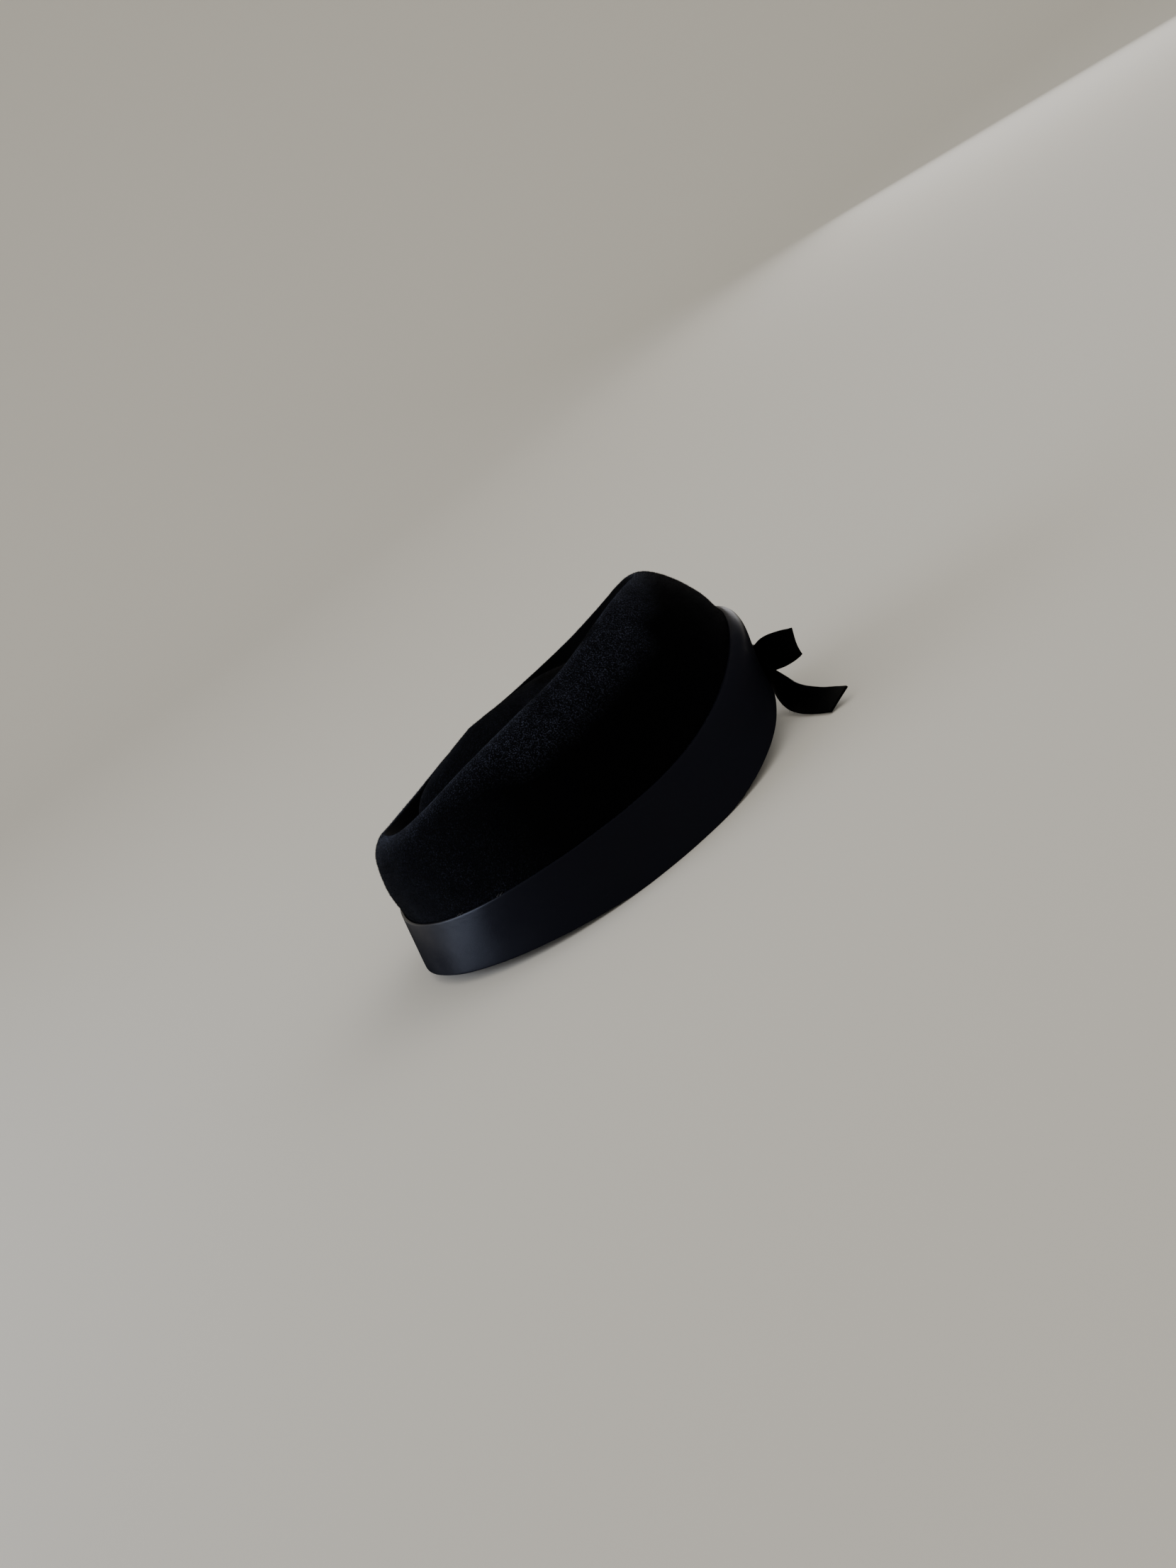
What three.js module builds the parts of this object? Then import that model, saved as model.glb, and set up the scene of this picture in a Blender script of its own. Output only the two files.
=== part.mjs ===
// Half hat: a creased velour felt crown, a smooth leather band round its edge and a leather bow in front.
// The hat's own frame has its front towards -Y, the wearer's right towards -X, and its base plane at Z = 0
// through the front and the back of the rim. The rim dips below that plane at both sides, as it follows a
// head. At the end the hat is tipped back by a few degrees, so that it rests on both dips.
import * as THREE from 'three';

// Driving sizes, in millimetres
const FELT = 2.4;
const LEATHER = 1.5;
const STRAP = 1.3;
const CLEARANCE = 0.35;

const RIM_LENGTH = 212;
const RIM_WIDTH = 173;
const BAND_TOP_LENGTH = 211;
const BAND_TOP_WIDTH = 162;
const BAND_HEIGHT_FRONT = 38;
const BAND_HEIGHT_SIDE = 33;
const BAND_HEIGHT_BACK = 25;
const BAND_BULGE = 5;
const SIDE_DIP = 13.6;
const RIM_TUCK = 1.2;
const REST_FLAT = 0.8;

const CROWN_LENGTH = 180;
const CROWN_WIDTH = 92;
const CROWN_HEIGHT = 79;

const STRAP_WIDTH = 13.5;
const BOW_HEIGHT = 6;
const KNOT_WIDTH = 11;
const KNOT_DEPTH = 6.8;
const LOOP_REACH = 27;
const TAIL_REACH = 66;

// How finely the round forms are faceted
const AROUND = 72;
const STRAP_STEPS = 16;

// Shares that shape the ovals and the dips
const RIM_EGG = -0.064;
const BAND_TOP_EGG = -0.23;
const BAND_TOP_SETBACK = -0.031;
const DIP_FORWARD = 0.57;
const BULGE_RISE = 3;
const BULGE_FALL = 0.8;
const KNOT_ROUND = 0.35;
const STRAP_GATHER = 0.25;

const FRONT = 0;

// A smooth blend of four values, told by the angle from the front: front, right side, back, left side
function aroundBlend(angle, front, right, back, left) {
  const forward = Math.cos(angle);
  const sideways = Math.sin(angle);
  const endValue = forward > 0 ? front : back;
  const sideValue = sideways > 0 ? right : left;
  return endValue * forward * forward + sideValue * sideways * sideways;
}

// A point of a level, slightly egg-shaped oval, at an angle from the front towards the wearer's right
function ovalPoint(oval, angle) {
  const forward = Math.cos(angle);
  const sideways = Math.sin(angle);
  const x = -oval.halfWidth * sideways * (1 + oval.egg * forward);
  const y = -oval.halfLength * forward + oval.setback;
  return new THREE.Vector2(x, y);
}

// The same point moved outwards by a distance, square to the oval
function ovalOffset(oval, angle, distance) {
  const step = 0.001;
  const along = ovalPoint(oval, angle + step).sub(ovalPoint(oval, angle - step)).normalize();
  const point = ovalPoint(oval, angle);
  return new THREE.Vector2(point.x - along.y * distance, point.y + along.x * distance);
}

// How far the rim dips below the base plane
function dipDepth(angle) {
  const sideways = Math.sin(angle);
  return SIDE_DIP * sideways * sideways * (1 + DIP_FORWARD * Math.cos(angle));
}

const RIM_OVAL = { halfLength: RIM_LENGTH / 2, halfWidth: RIM_WIDTH / 2, egg: RIM_EGG, setback: 0 };
const BAND_TOP_OVAL = {
  halfLength: BAND_TOP_LENGTH / 2,
  halfWidth: BAND_TOP_WIDTH / 2,
  egg: BAND_TOP_EGG,
  setback: BAND_TOP_LENGTH * BAND_TOP_SETBACK,
};

// The hat rests on the lowest stretch of both dips, beside its middle, where its weight is. The slope there
// tells how far it tips back.
const REST_SLOPE = (SIDE_DIP * DIP_FORWARD) / (RIM_LENGTH / 2);
const REST_ANGLE = Math.atan(REST_SLOPE);

// Height, in the hat's frame, of the resting surface at a distance behind the hat's middle. The soft rim
// is pressed flat there.
function restHeight(y) {
  return y * REST_SLOPE - SIDE_DIP + REST_FLAT / Math.cos(REST_ANGLE);
}

// An oval between the band's lower and upper edge, at a share of the band's height
function bandOval(share) {
  const mix = (low, high) => low + (high - low) * share;
  return {
    halfLength: mix(RIM_OVAL.halfLength, BAND_TOP_OVAL.halfLength),
    halfWidth: mix(RIM_OVAL.halfWidth, BAND_TOP_OVAL.halfWidth),
    egg: mix(RIM_OVAL.egg, BAND_TOP_OVAL.egg),
    setback: mix(RIM_OVAL.setback, BAND_TOP_OVAL.setback),
  };
}

function bandHeight(angle) {
  return aroundBlend(angle, BAND_HEIGHT_FRONT, BAND_HEIGHT_SIDE, BAND_HEIGHT_BACK, BAND_HEIGHT_SIDE);
}

// How far the band rounds outwards at the front, most near its upper edge, where it bends over the crown
function bandBulge(share, angle) {
  const forward = Math.max(Math.cos(angle), 0);
  const peakShare = BULGE_RISE / (BULGE_RISE + BULGE_FALL);
  const peak = peakShare ** BULGE_RISE * (1 - peakShare) ** BULGE_FALL;
  const growth = share ** BULGE_RISE * (1 - share) ** BULGE_FALL / peak;
  return BAND_BULGE * forward * forward * growth;
}

// A point on the band's outer face, or inwards of it by a depth
function bandPoint(share, angle, depth) {
  const plan = ovalOffset(bandOval(share), angle, bandBulge(share, angle) - depth);
  const height = share * bandHeight(angle) - dipDepth(angle);
  return new THREE.Vector3(plan.x, plan.y, Math.max(height, restHeight(plan.y)));
}

// Closed forms from rings of points. Each ring holds the same count of points and runs clockwise seen from
// above, and the rings go up the outside first.
function ringGeometry(rings, startPole, endPole) {
  const positions = [];
  const triangles = [];
  const count = rings[0].length;
  for (const ring of rings) {
    for (const point of ring) {
      positions.push(point.x, point.y, point.z);
    }
  }
  const joinRings = (low, high) => {
    for (let i = 0; i < count; i += 1) {
      const next = (i + 1) % count;
      triangles.push(low * count + i, high * count + next, low * count + next);
      triangles.push(low * count + i, high * count + i, high * count + next);
    }
  };
  for (let ring = 0; ring + 1 < rings.length; ring += 1) {
    joinRings(ring, ring + 1);
  }
  if (startPole === null) {
    joinRings(rings.length - 1, 0);
  } else {
    const start = positions.length / 3;
    positions.push(startPole.x, startPole.y, startPole.z, endPole.x, endPole.y, endPole.z);
    const last = (rings.length - 1) * count;
    for (let i = 0; i < count; i += 1) {
      const next = (i + 1) % count;
      triangles.push(start, i, next);
      triangles.push(start + 1, last + next, last + i);
    }
  }
  const geometry = new THREE.BufferGeometry();
  geometry.setAttribute('position', new THREE.Float32BufferAttribute(positions, 3));
  geometry.setIndex(triangles);
  geometry.computeVertexNormals();
  return geometry;
}

function namedMesh(name, geometry, finish) {
  const mesh = new THREE.Mesh(geometry, finish);
  mesh.name = name;
  return mesh;
}

// Finishes
const velourFelt = new THREE.MeshStandardMaterial({ color: 0x07080b, roughness: 0.96, metalness: 0 });
const bandLeather = new THREE.MeshStandardMaterial({ color: 0x10131b, roughness: 0.44, metalness: 0 });
const strapLeather = new THREE.MeshStandardMaterial({ color: 0x0a0b10, roughness: 0.6, metalness: 0 });

// Crown: the sections of its outer face above the band, from the wall over the ridge and through the groove
// to the long raised lobe in the middle. length, width and the heights are shares of the crown's sizes,
// setback too; egg narrows the front half; follow is how much of the ridge's lift the section shares;
// steps is the number of facets down to the row before.
const CROWN_SECTIONS = [
  { name: 'low wall', length: 1.142, width: 1.6, setback: -0.029,
    front: 0.63, right: 0.47, back: 0.47, left: 0.42, egg: -0.15, follow: 0, steps: 2 },
  { name: 'middle wall', length: 1.1, width: 1.42, setback: -0.022,
    front: 0.785, right: 0.7, back: 0.62, left: 0.59, egg: -0.14, follow: 0.2, steps: 2 },
  { name: 'outer shoulder', length: 1.033, width: 1.12, setback: -0.011,
    front: 0.93, right: 0.92, back: 0.75, left: 0.75, egg: -0.14, follow: 0.7, steps: 2 },
  { name: 'ridge', length: 0.942, width: 0.98, setback: -0.013,
    front: 0.974, right: 0.97, back: 0.815, left: 0.804, egg: -0.15, follow: 1, steps: 2 },
  { name: 'inner shoulder', length: 0.885, width: 0.9, setback: -0.013,
    front: 0.925, right: 0.915, back: 0.745, left: 0.735, egg: -0.15, follow: 1, steps: 2 },
  { name: 'groove', length: 0.79, width: 0.7, setback: 0,
    front: 0.82, right: 0.8, back: 0.66, left: 0.66, egg: -0.05, follow: 0.3, steps: 3 },
  { name: 'lobe foot', length: 0.56, width: 0.38, setback: 0.07,
    front: 0.83, right: 0.86, back: 0.79, left: 0.8, egg: 0.1, follow: 0, steps: 2 },
  { name: 'lobe shoulder', length: 0.42, width: 0.2, setback: 0.09,
    front: 0.9, right: 0.91, back: 0.865, left: 0.895, egg: 0.1, follow: 0, steps: 2 },
];
const LOBE_TOP = { setback: 0.115, height: 0.96 };

// How far the ridge rises or dips between its four main directions, in shares of the crown's height
const RIDGE_LIFT = { frontRight: 0.055, backRight: 0.012, backLeft: -0.055, frontLeft: -0.03 };

function ridgeLift(angle) {
  const forward = Math.cos(angle);
  const sideways = Math.sin(angle);
  const right = forward > 0 ? RIDGE_LIFT.frontRight : RIDGE_LIFT.backRight;
  const left = forward > 0 ? RIDGE_LIFT.frontLeft : RIDGE_LIFT.backLeft;
  return (sideways > 0 ? right : left) * (2 * forward * sideways) ** 2;
}

function crownSectionPoint(section, angle) {
  const oval = {
    halfLength: (section.length * CROWN_LENGTH) / 2,
    halfWidth: (section.width * CROWN_WIDTH) / 2,
    egg: section.egg,
    setback: section.setback * CROWN_LENGTH,
  };
  const plan = ovalPoint(oval, angle);
  const level = aroundBlend(angle, section.front, section.right, section.back, section.left);
  const height = level + section.follow * ridgeLift(angle);
  return new THREE.Vector3(plan.x, plan.y, height * CROWN_HEIGHT);
}

// The felt's outer face where the band covers it, from the tucked lower edge to just under the band's top
function crownUnderBand(share, angle) {
  const point = bandPoint(share, angle, LEATHER + CLEARANCE);
  if (share === 0) {
    point.z += RIM_TUCK;
  }
  return point;
}

const BAND_SHARES = [0, 0.25, 0.5, 0.7, 0.85, 0.95, 1];

// The outer face as rings from the rim to the lobe's top, smooth across the crown's sections
function crownOuterRings() {
  const rings = [];
  for (const share of BAND_SHARES) {
    const ring = [];
    for (let i = 0; i < AROUND; i += 1) {
      ring.push(crownUnderBand(share, (i / AROUND) * 2 * Math.PI));
    }
    rings.push(ring);
  }
  const first = rings.length;
  for (const section of CROWN_SECTIONS) {
    for (let step = 0; step < section.steps; step += 1) {
      rings.push([]);
    }
  }
  for (let i = 0; i < AROUND; i += 1) {
    const angle = (i / AROUND) * 2 * Math.PI;
    const knots = [crownUnderBand(0.5, angle), crownUnderBand(1, angle)];
    for (const section of CROWN_SECTIONS) {
      knots.push(crownSectionPoint(section, angle));
    }
    knots.push(lobeTop());
    const meridian = new THREE.CatmullRomCurve3(knots, false, 'centripetal');
    let ring = first;
    CROWN_SECTIONS.forEach((section, row) => {
      for (let step = 1; step <= section.steps; step += 1) {
        const along = (row + 1 + step / section.steps) / (knots.length - 1);
        rings[ring].push(meridian.getPoint(along));
        ring += 1;
      }
    });
  }
  return rings;
}

function lobeTop() {
  return new THREE.Vector3(0, LOBE_TOP.setback * CROWN_LENGTH, LOBE_TOP.height * CROWN_HEIGHT);
}

// The inner face: the outer rings moved inwards by the felt's thickness, square to the surface
function crownInnerRings(outer) {
  const count = outer[0].length;
  const top = lobeTop();
  return outer.map((ring, row) => {
    const below = outer[Math.max(row - 1, 0)];
    const above = row + 1 < outer.length ? outer[row + 1] : null;
    return ring.map((point, i) => {
      const along = ring[(i + 1) % count].clone().sub(ring[(i + count - 1) % count]);
      const up = (above === null ? top.clone() : above[i].clone()).sub(below[i]);
      const outwards = up.cross(along).normalize();
      return point.clone().addScaledVector(outwards, -FELT);
    });
  });
}

function crown() {
  const outer = crownOuterRings();
  const inner = crownInnerRings(outer);
  for (let i = 0; i < inner[0].length; i += 1) {
    inner[0][i].z = Math.max(inner[0][i].z, restHeight(inner[0][i].y) + RIM_TUCK);
  }
  const innerTop = lobeTop();
  innerTop.z -= FELT;
  const rings = [...inner.slice().reverse(), ...outer];
  return namedMesh('crown', ringGeometry(rings, innerTop, lobeTop()), velourFelt);
}

// Band: a leather ring that follows the felt's wall
function band() {
  const ringAt = (share, depth) => {
    const ring = [];
    for (let i = 0; i < AROUND; i += 1) {
      ring.push(bandPoint(share, (i / AROUND) * 2 * Math.PI, depth));
    }
    return ring;
  };
  const outside = BAND_SHARES.map((share) => ringAt(share, 0));
  const inside = BAND_SHARES.slice().reverse().map((share) => ringAt(share, LEATHER));
  return namedMesh('band', ringGeometry([...outside, ...inside], null, null), bandLeather);
}

// A flat strap along a smooth path. Each row of the path gives its middle and the direction of its width,
// and slant is how much further its end reaches at the upper edge than at the lower one.
function strapGeometry(rows, slant, squareness) {
  const middle = new THREE.CatmullRomCurve3(rows.map((row) => row.point), false, 'centripetal');
  const widths = new THREE.CatmullRomCurve3(rows.map((row) => row.width), false, 'centripetal');
  const rings = [];
  for (let i = 0; i <= STRAP_STEPS; i += 1) {
    const share = i / STRAP_STEPS;
    const centre = middle.getPoint(share);
    const along = middle.getTangent(share);
    const width = widths.getPoint(share).normalize();
    width.addScaledVector(along, -width.dot(along) * squareness(share)).normalize();
    const thickness = along.clone().cross(width).normalize();
    const reach = share * slant * 0.5;
    const corner = (side, face) => centre.clone()
      .addScaledVector(width, (side * STRAP_WIDTH) / 2)
      .addScaledVector(thickness, (face * STRAP) / 2)
      .addScaledVector(along, side * reach);
    rings.push([corner(1, 1), corner(-1, 1), corner(-1, -1), corner(1, -1)]);
  }
  return cappedGeometry(rings);
}

// 0 where a strap is gathered upright into the knot, 1 further out where it runs square to its path
function strapSquareness(isLoop) {
  return (share) => Math.min((isLoop ? Math.min(share, 1 - share) : share) / STRAP_GATHER, 1);
}

// A closed form from four-cornered rings along a path, capped at both ends
function cappedGeometry(rings) {
  const positions = rings.flat().flatMap((point) => [point.x, point.y, point.z]);
  const triangles = [];
  const last = (rings.length - 1) * 4;
  for (let ring = 0; ring + 1 < rings.length; ring += 1) {
    for (let side = 0; side < 4; side += 1) {
      const a = ring * 4 + side;
      const b = ring * 4 + ((side + 1) % 4);
      // Both broad faces are split along the same diagonal, so that a twisted strap keeps its thickness
      if (side === 2) {
        triangles.push(a, b, a + 4, b, b + 4, a + 4);
      } else {
        triangles.push(a, b, b + 4, a, b + 4, a + 4);
      }
    }
  }
  triangles.push(0, 2, 1, 0, 3, 2);
  triangles.push(last, last + 1, last + 2, last, last + 2, last + 3);
  const geometry = new THREE.BufferGeometry();
  geometry.setAttribute('position', new THREE.Float32BufferAttribute(positions, 3));
  geometry.setIndex(triangles);
  geometry.computeVertexNormals();
  return geometry;
}

// The band's front face behind the knot, which leans forward with it
const frontFace = (height) => -bandPoint(height / BAND_HEIGHT_FRONT, FRONT, 0).y;
const KNOT_LOW = BOW_HEIGHT - STRAP_WIDTH / 2;
const KNOT_LEAN = Math.atan((frontFace(KNOT_LOW + STRAP_WIDTH) - frontFace(KNOT_LOW)) / STRAP_WIDTH);
const KNOT_MIDDLE = frontFace(BOW_HEIGHT) + CLEARANCE + KNOT_DEPTH / 2;
const KNOT_SIDE = KNOT_WIDTH / 2 + CLEARANCE;

// Rows of a strap's path in shares of its reach: out from the knot's side, forward of the knot's middle,
// and up from the bow's height; lean tips the strap's upper edge forward, as a share of its upright part.
const LOOP_PATH = [
  { out: 0.0, forward: -0.04, up: 0.0, lean: 0.15 },
  { out: 0.24, forward: 0.03, up: -0.03, lean: 0.2 },
  { out: 0.57, forward: 0.2, up: 0.01, lean: 0.34 },
  { out: 0.9, forward: 0.39, up: -0.025, lean: 0.36 },
  { out: 0.98, forward: 0.44, up: -0.03, lean: 0.36 },
  { out: 0.9, forward: 0.47, up: -0.045, lean: 0.36 },
  { out: 0.45, forward: 0.36, up: -0.12, lean: 0.3 },
  { out: 0.0, forward: 0.075, up: -0.1, lean: 0.15 },
];
const TAIL_PATH = [
  { out: 0.0, forward: -0.042, up: -0.033, lean: 0.15 },
  { out: 0.13, forward: -0.05, up: -0.14, lean: 0.2 },
  { out: 0.352, forward: -0.088, up: -0.288, lean: 1.0 },
  { out: 0.651, forward: -0.088, up: -0.333, lean: 1.9 },
  { out: 1.0, forward: -0.058, up: -0.348, lean: 2.9 },
];
const TAIL_SLANT = 3.5;

function bowPath(table, reach, side) {
  return table.map((row) => ({
    point: new THREE.Vector3(
      side * (KNOT_SIDE + row.out * (reach - KNOT_SIDE)),
      -KNOT_MIDDLE - row.forward * reach,
      BOW_HEIGHT + row.up * reach,
    ),
    width: new THREE.Vector3(0, -row.lean, 1),
  }));
}

function bowLoop(name, side) {
  const geometry = strapGeometry(bowPath(LOOP_PATH, LOOP_REACH, side), 0, strapSquareness(true));
  return namedMesh(name, geometry, strapLeather);
}

function bowTail(name, side) {
  const geometry = strapGeometry(bowPath(TAIL_PATH, TAIL_REACH, side), TAIL_SLANT, strapSquareness(false));
  return namedMesh(name, geometry, strapLeather);
}

// Knot: the wrap of strap that holds loops and tails, a cushion-shaped block flat against the band
function bowKnot() {
  const shape = new THREE.Shape();
  const half = KNOT_WIDTH / 2;
  const round = KNOT_DEPTH * KNOT_ROUND;
  shape.moveTo(-half, 0);
  shape.lineTo(half, 0);
  shape.lineTo(half, KNOT_DEPTH - round);
  shape.quadraticCurveTo(half, KNOT_DEPTH, half - round, KNOT_DEPTH);
  shape.lineTo(-half + round, KNOT_DEPTH);
  shape.quadraticCurveTo(-half, KNOT_DEPTH, -half, KNOT_DEPTH - round);
  shape.closePath();
  const geometry = new THREE.ExtrudeGeometry(shape, {
    depth: STRAP_WIDTH,
    bevelEnabled: false,
    curveSegments: 4,
  });
  const mesh = namedMesh('bow_knot', geometry, strapLeather);
  mesh.rotation.set(KNOT_LEAN, 0, Math.PI);
  mesh.position.set(0, -frontFace(KNOT_LOW) - CLEARANCE, KNOT_LOW);
  return mesh;
}

const RIGHT = -1;
const LEFT = 1;

const hat = new THREE.Group();
hat.add(crown());
hat.add(band());
hat.add(bowKnot());
hat.add(bowLoop('bow_loop_right', RIGHT));
hat.add(bowLoop('bow_loop_left', LEFT));
hat.add(bowTail('bow_tail_right', RIGHT));
hat.add(bowTail('bow_tail_left', LEFT));

// The hat rests on both dips: it is tipped back, and its box stands centred on the origin
hat.rotation.x = -REST_ANGLE;
hat.updateMatrixWorld(true);
const box = new THREE.Box3().setFromObject(hat, true);
const restingPlace = new THREE.Vector3(0, 0, restHeight(0));
const restingHeight = restingPlace.applyMatrix4(hat.matrixWorld).z;
hat.position.set(-(box.min.x + box.max.x) / 2, -(box.min.y + box.max.y) / 2, -restingHeight);

const halfHat = new THREE.Group();
halfHat.add(hat);
halfHat.updateMatrixWorld(true);

export default halfHat;
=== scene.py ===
"""Looks of a small half hat: a creased velour felt crown, a smooth leather band and a leather-strap bow."""

import logging
import math
from dataclasses import dataclass
from enum import Enum

import bpy
import numpy as np
from mathutils import Matrix, Vector


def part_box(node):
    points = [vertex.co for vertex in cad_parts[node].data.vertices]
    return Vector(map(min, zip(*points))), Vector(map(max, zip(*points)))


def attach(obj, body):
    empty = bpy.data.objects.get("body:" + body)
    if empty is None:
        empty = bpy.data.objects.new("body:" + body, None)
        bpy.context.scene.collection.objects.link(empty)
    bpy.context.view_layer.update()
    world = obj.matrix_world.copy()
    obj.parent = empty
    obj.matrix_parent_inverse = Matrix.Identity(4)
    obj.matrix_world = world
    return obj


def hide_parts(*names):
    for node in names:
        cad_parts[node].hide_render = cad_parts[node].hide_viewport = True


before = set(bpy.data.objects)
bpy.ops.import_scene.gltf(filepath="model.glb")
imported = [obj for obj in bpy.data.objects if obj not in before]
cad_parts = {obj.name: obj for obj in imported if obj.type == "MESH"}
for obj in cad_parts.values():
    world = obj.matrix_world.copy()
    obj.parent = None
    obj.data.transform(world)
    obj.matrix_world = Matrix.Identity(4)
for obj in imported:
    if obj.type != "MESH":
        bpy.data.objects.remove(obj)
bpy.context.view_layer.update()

LOG = logging.getLogger("half_hat")
MM = 0.001

# Red, green and blue, or X, Y and Z
Triple = tuple[float, float, float]
Socket = bpy.types.NodeSocket

# The hat's own frame, tipped back by its resting angle and lifted onto its dips
REST_TIP = math.radians(4.183)
REST_PLACE = Vector((0.0, 9.89 * MM, 12.76 * MM))
HAT_TO_ROOM = Matrix.Translation(REST_PLACE) @ Matrix.Rotation(-REST_TIP, 4, "X")

# Vertices of the CAD mesh nearer than this are one
MERGE_REACH = 0.01 * MM
# Edges whose faces turn by more than this are rounded
SHARP_EDGE = math.radians(50)
SUBDIVISIONS = 2


class Side(Enum):
    """The wearer's side that a piece of the bow lies on."""

    RIGHT = -1
    LEFT = 1


class StageLight(Enum):
    """The studio lights, by the place they shine from."""

    OVERHEAD = "overhead_softbox"
    BEHIND = "behind_softbox"
    FRONT = "front_softbox"


def work_on(piece: bpy.types.Object) -> None:
    """Selects one object alone and makes it the active one.

    Args:
        piece: The object that the next operators act on.
    """
    bpy.ops.object.select_all(action="DESELECT")
    piece.select_set(True)
    bpy.context.view_layer.objects.active = piece


def apply_modifiers(piece: bpy.types.Object) -> None:
    """Applies every modifier of a piece in order.

    Args:
        piece: The object whose modifiers are made part of its mesh.
    """
    work_on(piece)
    for modifier in list(piece.modifiers):
        bpy.ops.object.modifier_apply(modifier=modifier.name)


def settle(piece: bpy.types.Object) -> None:
    """Moves a piece's place, turn and scale into its mesh, so that its object stands at the origin.

    Args:
        piece: The object to settle.
    """
    work_on(piece)
    bpy.ops.object.transform_apply(location=True, rotation=True, scale=True)


def merged_copy(node: str, name: str) -> bpy.types.Object:
    """Copies a CAD node into a new object, joins its loose triangles and pairs them to quads.

    Args:
        node: The CAD node's name.
        name: The new object's name.

    Returns:
        The new object, at the origin.
    """
    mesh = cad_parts[node].data.copy()
    mesh.materials.clear()
    piece = bpy.data.objects.new(name, mesh)
    bpy.context.scene.collection.objects.link(piece)
    work_on(piece)
    bpy.ops.mesh.customdata_custom_splitnormals_clear()
    bpy.ops.object.mode_set(mode="EDIT")
    bpy.ops.mesh.select_all(action="SELECT")
    bpy.ops.mesh.remove_doubles(threshold=MERGE_REACH)
    bpy.ops.mesh.tris_convert_to_quads(face_threshold=math.pi, shape_threshold=math.pi)
    bpy.ops.object.mode_set(mode="OBJECT")
    return piece


def round_edges(piece: bpy.types.Object, width: float, segments: int) -> None:
    """Rounds the sharp edges of a piece.

    Args:
        piece: The object to change.
        width: How far from each edge the rounding begins, in metres.
        segments: How many steps the rounding has.
    """
    modifier = piece.modifiers.new("edges", "BEVEL")
    modifier.width = width
    modifier.segments = segments
    modifier.limit_method = "ANGLE"
    modifier.angle_limit = SHARP_EDGE
    apply_modifiers(piece)


def soften(piece: bpy.types.Object, size: float, height: float, depth: int = 2) -> None:
    """Rounds a piece, lets its surface swell and sink as a handmade one does, and shades it smooth.

    Args:
        piece: The object to change.
        size: Size of the swellings in metres.
        height: How far they reach from lowest to highest, in metres.
        depth: How many finer layers the swellings have.
    """
    rounding = piece.modifiers.new("round", "SUBSURF")
    rounding.levels = SUBDIVISIONS
    rounding.render_levels = SUBDIVISIONS
    apply_modifiers(piece)
    texture = bpy.data.textures.new(piece.name + "_swell", "CLOUDS")
    texture.noise_scale = size
    texture.noise_depth = depth
    swell = piece.modifiers.new("swell", "DISPLACE")
    swell.texture = texture
    swell.texture_coords = "LOCAL"
    swell.strength = height
    swell.mid_level = 0.5
    apply_modifiers(piece)
    bpy.ops.object.shade_smooth()


def select_vertices(mesh: bpy.types.Mesh, chosen: np.ndarray) -> None:
    """Selects some vertices of a mesh, the edges between them and no faces.

    Args:
        mesh: The mesh.
        chosen: True for each vertex to select.
    """
    for vertex, wanted in zip(mesh.vertices, chosen):
        vertex.select = bool(wanted)
    for edge in mesh.edges:
        edge.select = all(bool(chosen[index]) for index in edge.vertices)
    for face in mesh.polygons:
        face.select = False


def move_vertices(piece: bpy.types.Object, chosen: np.ndarray, move: Vector) -> None:
    """Moves some vertices of a piece.

    Args:
        piece: The object to change.
        chosen: True for each vertex to move.
        move: How far they move along X, Y and Z.
    """
    work_on(piece)
    select_vertices(piece.data, chosen)
    bpy.ops.object.mode_set(mode="EDIT")
    bpy.ops.mesh.select_mode(type="VERT")
    bpy.ops.transform.translate(value=move)
    bpy.ops.object.mode_set(mode="OBJECT")


def finish_piece(
    piece: bpy.types.Object, material: bpy.types.Material, nodes: tuple[str, ...] = ()
) -> None:
    """Gives a piece its material, lets it ride on the hat and hides the CAD nodes that it replaces.

    Args:
        piece: The finished object.
        material: The material it gets.
        nodes: CAD nodes that it replaces.
    """
    piece.data.materials.clear()
    piece.data.materials.append(material)
    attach(piece, "root")
    if nodes:
        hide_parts(*nodes)


def mesh_points(mesh: bpy.types.Mesh) -> np.ndarray:
    """Reads a mesh's vertex places.

    Args:
        mesh: The mesh.

    Returns:
        An array with a row for each vertex.
    """
    points = np.zeros(len(mesh.vertices) * 3)
    mesh.vertices.foreach_get("co", points)
    return points.reshape(-1, 3)


def vertex_normals(mesh: bpy.types.Mesh) -> np.ndarray:
    """Reads a mesh's outward directions.

    Args:
        mesh: The mesh.

    Returns:
        An array with a row for each vertex.
    """
    normals = np.zeros(len(mesh.vertices) * 3)
    mesh.vertex_normals.foreach_get("vector", normals)
    return normals.reshape(-1, 3)


def unit(rows: np.ndarray) -> np.ndarray:
    """Scales each row of an array to length one.

    Args:
        rows: Directions as rows.

    Returns:
        The scaled rows.
    """
    return rows / np.linalg.norm(rows, axis=1)[:, None]


def fade(values: np.ndarray, start: float, length: float) -> np.ndarray:
    """Rises from 0 where a value passes the start to 1 a given length further on.

    Args:
        values: The values.
        start: Where the rise begins.
        length: How long it takes.

    Returns:
        A share from 0 to 1 for each value.
    """
    return np.clip((values - start) / length, 0.0, 1.0)


def paint(mesh: bpy.types.Mesh, name: str, values: np.ndarray) -> None:
    """Stores a value at each vertex of a mesh for its material to read.

    Args:
        mesh: The mesh.
        name: The attribute's name.
        values: One value for each vertex.
    """
    attribute = mesh.attributes.new(name, "FLOAT", "POINT")
    attribute.data.foreach_set("value", values.astype(np.float32))


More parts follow.
